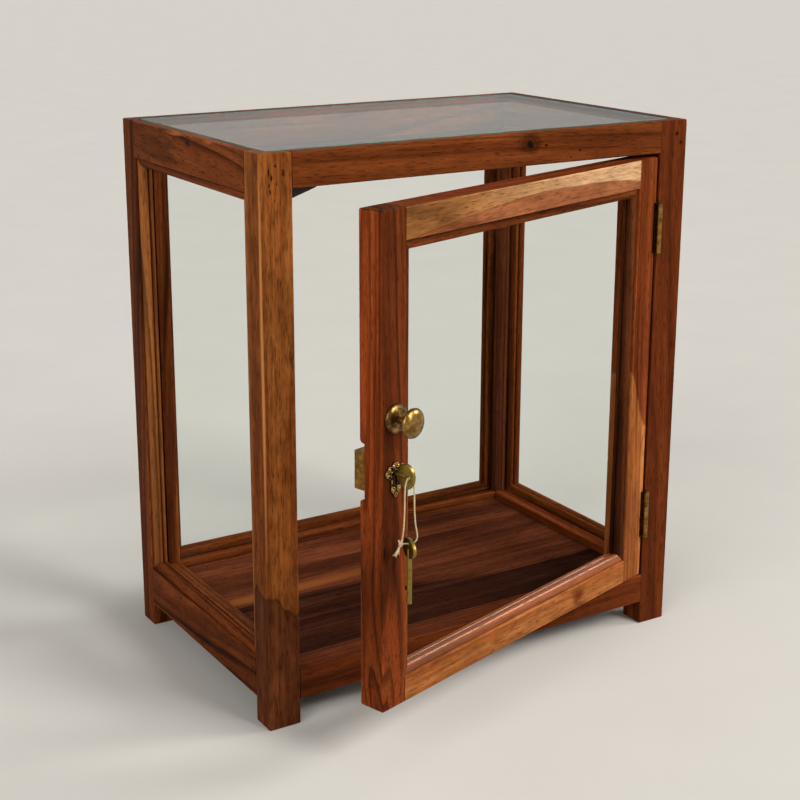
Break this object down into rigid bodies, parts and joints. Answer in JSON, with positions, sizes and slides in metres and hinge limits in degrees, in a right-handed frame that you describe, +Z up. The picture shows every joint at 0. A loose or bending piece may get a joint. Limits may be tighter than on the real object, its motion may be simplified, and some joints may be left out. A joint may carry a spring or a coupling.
{
  "type": "glass display cabinet",
  "caption": "Wooden display cabinet with glazed sides, back, top and hinged door, moulded glazing beads, brass knob, lock, key and a spare key on a string.",
  "frame": {"origin": "on the floor, under the middle of the object's box with the door ajar; the spare key and the string don't count", "axes": "+Z up, +Y towards the back of the cabinet, +X towards the hinge side"},
  "size_m": [0.541, 0.4943, 0.61],
  "materials": {
    "wood": "reddish-brown hardwood with dark streaks, satin lacquer",
    "base_wood": "darker boards, satin lacquer",
    "dark_wood": "stained nearly black",
    "glass": "clear, green at the edges",
    "brass": "aged, speckled patina",
    "steel": "plain",
    "string": "thin twisted cotton twine"
  },
  "bodies": {
    "cabinet": {"post_front_left": "wood", "post_front_right": "wood", "post_back_left": "wood", "post_back_right": "wood", "top_rail_front": "wood", "top_rail_back": "wood", "top_rail_left": "wood", "top_rail_right": "wood", "bottom_rail_front": "wood", "bottom_rail_back": "wood", "bottom_rail_left": "wood", "bottom_rail_right": "wood", "base_board_1": "base_wood", "base_board_2": "base_wood", "base_board_3": "base_wood", "base_board_4": "base_wood", "top_glass": "glass", "left_glass": "glass", "right_glass": "glass", "back_glass": "glass", "left_bead_top": "wood", "left_bead_bottom": "wood", "left_bead_front": "wood", "left_bead_back": "wood", "right_bead_top": "wood", "right_bead_bottom": "wood", "right_bead_front": "wood", "right_bead_back": "wood", "back_bead_top": "wood", "back_bead_bottom": "wood", "back_bead_left": "wood", "back_bead_right": "wood", "door_stop": "dark_wood", "hinge_upper_frame_leaf": "brass", "hinge_upper_pin": "brass", "hinge_lower_frame_leaf": "brass", "hinge_lower_pin": "brass"},
    "door": {"door_stile_lock": "wood", "door_stile_hinge": "wood", "door_rail_top": "wood", "door_rail_bottom": "wood", "door_glass": "glass", "door_bead_top": "wood", "door_bead_bottom": "wood", "door_bead_left": "wood", "door_bead_right": "wood", "hinge_upper_door_leaf": "brass", "hinge_lower_door_leaf": "brass", "knob_rose": "brass", "knob": "brass", "knob_screw": "brass", "escutcheon": "brass", "lock_cap": "brass", "lock_case": "brass", "key_string": "string"},
    "key": {"key": "brass"},
    "lock_bolt": {"lock_bolt": "steel"},
    "spare_key": {"spare_key": "brass"}
  },
  "joints": [
    {"name": "door_hinge", "type": "hinge", "parent": "cabinet", "child": "door", "pos_m": [0.2325, -0.09364, 0.3], "axis": [0, 0, 1], "range_deg": [-16.66, 158.34]},
    {"name": "key_turn", "type": "hinge", "parent": "door", "child": "key", "pos_m": [-0.18963, -0.2352, 0.314], "axis": [0.2867, -0.958, 0], "range_deg": [0, 360], "deforming": ["key_string"]},
    {"name": "bolt_slide", "type": "slide", "parent": "door", "child": "lock_bolt", "axis": [-0.958, -0.2867, 0], "range_m": [0, 0.01]},
    {"name": "spare_key_swing", "type": "hinge", "parent": "door", "child": "spare_key", "pos_m": [-0.18963, -0.2352, 0.246], "axis": [-0.9939, 0.1104, 0], "range_deg": [-10, 40]}
  ],
  "couplings": [
    {"joint": "bolt_slide", "follows": "key_turn", "m_per_rad": 0.00159}
  ]
}
